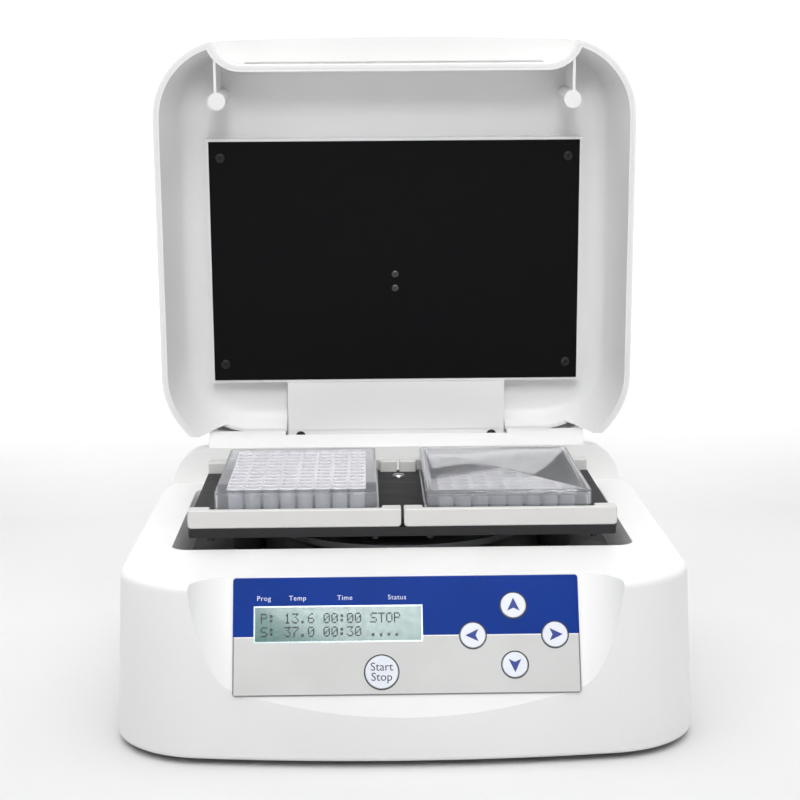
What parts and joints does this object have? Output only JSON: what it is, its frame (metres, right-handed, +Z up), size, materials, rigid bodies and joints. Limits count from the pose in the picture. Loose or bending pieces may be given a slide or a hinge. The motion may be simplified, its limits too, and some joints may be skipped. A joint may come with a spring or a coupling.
{
  "type": "orbital microplate shaker",
  "caption": "Benchtop orbital shaker for microplates with a heated platform, a hinged heated lid standing open, and a sloping key panel with a display.",
  "frame": {"origin": "on the table under the middle of the object as it stands with its lid open", "axes": "+Z up, +X to the operator's right, -Y towards the operator and the sloping panel"},
  "size_m": [0.2848, 0.297, 0.3475],
  "materials": {
    "white_plastic": "fine texture",
    "lid_liner_plastic": "satin",
    "black_anodised": "black anodised",
    "platform_aluminium": "white coated",
    "clear_plastic": "clear polystyrene",
    "overlay_film": "printed film",
    "key_cap": "satin",
    "window": "clear",
    "circuit_board": "solder mask",
    "steel": "machined",
    "zinc_screw": "bright",
    "black_screw": "black oxide",
    "black_plastic": "satin",
    "motor_case": "satin",
    "brass_weight": "machined",
    "sheet_steel": "zinc plated",
    "rubber": "matte",
    "heater_film": "amber film",
    "pin_plastic": "smooth"
  },
  "bodies": {
    "base": {"base_pan": "sheet_steel", "base_screws": "zinc_screw", "chassis_plate": "black_plastic", "chassis_screws": "zinc_screw", "chassis_standoffs": "steel", "control_board": "circuit_board", "control_overlay": "overlay_film", "display_module": "black_plastic", "display_window": "window", "foot_screws": "zinc_screw", "hinge_bushes": "pin_plastic", "idler_bearings": "steel", "mains_inlet": "black_plastic", "motor_body": "motor_case", "motor_screws": "zinc_screw", "power_supply": "sheet_steel", "rear_plate": "sheet_steel", "rubber_feet": "rubber", "switch_frame": "black_plastic", "tact_switches": "black_plastic", "upper_housing": "white_plastic"},
    "drive": {"eccentric_shaft": "steel", "counterweight": "brass_weight"},
    "platform": {"platform_plate": "black_anodised", "heater_plate": "black_anodised", "heater_film": "heater_film", "front_bar_left": "platform_aluminium", "front_bar_right": "platform_aluminium", "rear_bar_left": "platform_aluminium", "rear_bar_right": "platform_aluminium", "bar_screws": "black_screw", "plate_screw": "zinc_screw", "carrier_disc": "platform_aluminium", "carrier_screws": "zinc_screw", "platform_bearing": "steel", "idler_cups": "pin_plastic"},
    "lid": {"lid_shell": "white_plastic", "lid_liner": "lid_liner_plastic", "lid_carrier": "lid_liner_plastic", "lid_heated_plate": "black_anodised", "lid_plate_screws": "zinc_screw", "lid_sensor_screws": "zinc_screw", "hinge_arm": "lid_liner_plastic", "hinge_arm_screws": "black_screw", "hinge_pins": "steel"},
    "power_rocker": {"power_rocker": "black_plastic"},
    "fuse_drawer": {"fuse_drawer": "black_plastic"},
    "microplate_left": {"microplate_left": "clear_plastic"},
    "microplate_right": {"microplate_right": "clear_plastic"},
    "microplate_cover": {"microplate_cover": "clear_plastic"},
    "idler_1": {"idler_crank_1": "steel"},
    "idler_2": {"idler_crank_2": "steel"},
    "idler_3": {"idler_crank_3": "steel"},
    "idler_4": {"idler_crank_4": "steel"},
    "up_key": {"up_key": "key_cap"},
    "down_key": {"down_key": "key_cap"},
    "left_key": {"left_key": "key_cap"},
    "right_key": {"right_key": "key_cap"},
    "start_key": {"start_key": "key_cap"}
  },
  "joints": [
    {"name": "drive_spin", "type": "hinge", "parent": "base", "child": "drive", "pos_m": [-0.0015, 0.009, 0.08], "axis": [0, 0, 1], "continuous": true},
    {"name": "platform_orbit", "type": "hinge", "parent": "drive", "child": "platform", "pos_m": [0, 0.009, 0.085], "axis": [0, 0, 1], "continuous": true},
    {"name": "idler_1_spin", "type": "hinge", "parent": "base", "child": "idler_1", "pos_m": [-0.0815, -0.035, 0.08], "axis": [0, 0, 1], "continuous": true},
    {"name": "idler_2_spin", "type": "hinge", "parent": "base", "child": "idler_2", "pos_m": [0.0785, -0.035, 0.08], "axis": [0, 0, 1], "continuous": true},
    {"name": "idler_3_spin", "type": "hinge", "parent": "base", "child": "idler_3", "pos_m": [-0.0815, 0.053, 0.08], "axis": [0, 0, 1], "continuous": true},
    {"name": "idler_4_spin", "type": "hinge", "parent": "base", "child": "idler_4", "pos_m": [0.0785, 0.053, 0.08], "axis": [0, 0, 1], "continuous": true},
    {"name": "lid_hinge", "type": "hinge", "parent": "base", "child": "lid", "pos_m": [0, 0.118, 0.104], "axis": [-1, 0, 0], "range_deg": [-85.3, 0]},
    {"name": "up_key_press", "type": "slide", "parent": "base", "child": "up_key", "axis": [0, 0.9178, -0.3971], "range_m": [0, 0.0004], "stiffness_N_per_m": 2500, "springref_m": -0.0004},
    {"name": "down_key_press", "type": "slide", "parent": "base", "child": "down_key", "axis": [0, 0.9178, -0.3971], "range_m": [0, 0.0004], "stiffness_N_per_m": 2500, "springref_m": -0.0004},
    {"name": "left_key_press", "type": "slide", "parent": "base", "child": "left_key", "axis": [0, 0.9178, -0.3971], "range_m": [0, 0.0004], "stiffness_N_per_m": 2500, "springref_m": -0.0004},
    {"name": "right_key_press", "type": "slide", "parent": "base", "child": "right_key", "axis": [0, 0.9178, -0.3971], "range_m": [0, 0.0004], "stiffness_N_per_m": 2500, "springref_m": -0.0004},
    {"name": "start_key_press", "type": "slide", "parent": "base", "child": "start_key", "axis": [0, 0.9178, -0.3971], "range_m": [0, 0.0004], "stiffness_N_per_m": 2500, "springref_m": -0.0004},
    {"name": "power_switch", "type": "hinge", "parent": "base", "child": "power_rocker", "pos_m": [-0.02, 0.1315, 0.034], "axis": [-1, 0, 0], "range_deg": [0, 16]},
    {"name": "fuse_drawer_slide", "type": "slide", "parent": "base", "child": "fuse_drawer", "axis": [0, 1, 0], "range_m": [0, 0.018]},
    {"name": "microplate_left_lift", "type": "slide", "parent": "platform", "child": "microplate_left", "axis": [0, 0, 1], "range_m": [0, 0.12]},
    {"name": "microplate_right_lift", "type": "slide", "parent": "platform", "child": "microplate_right", "axis": [0, 0, 1], "range_m": [0, 0.12]},
    {"name": "microplate_cover_lift", "type": "slide", "parent": "microplate_right", "child": "microplate_cover", "axis": [0, 0, 1], "range_m": [0, 0.06]}
  ],
  "couplings": [
    {"joint": "platform_orbit", "follows": "drive_spin", "ratio": -1},
    {"joint": "idler_1_spin", "follows": "drive_spin", "ratio": 1},
    {"joint": "idler_2_spin", "follows": "drive_spin", "ratio": 1},
    {"joint": "idler_3_spin", "follows": "drive_spin", "ratio": 1},
    {"joint": "idler_4_spin", "follows": "drive_spin", "ratio": 1}
  ]
}
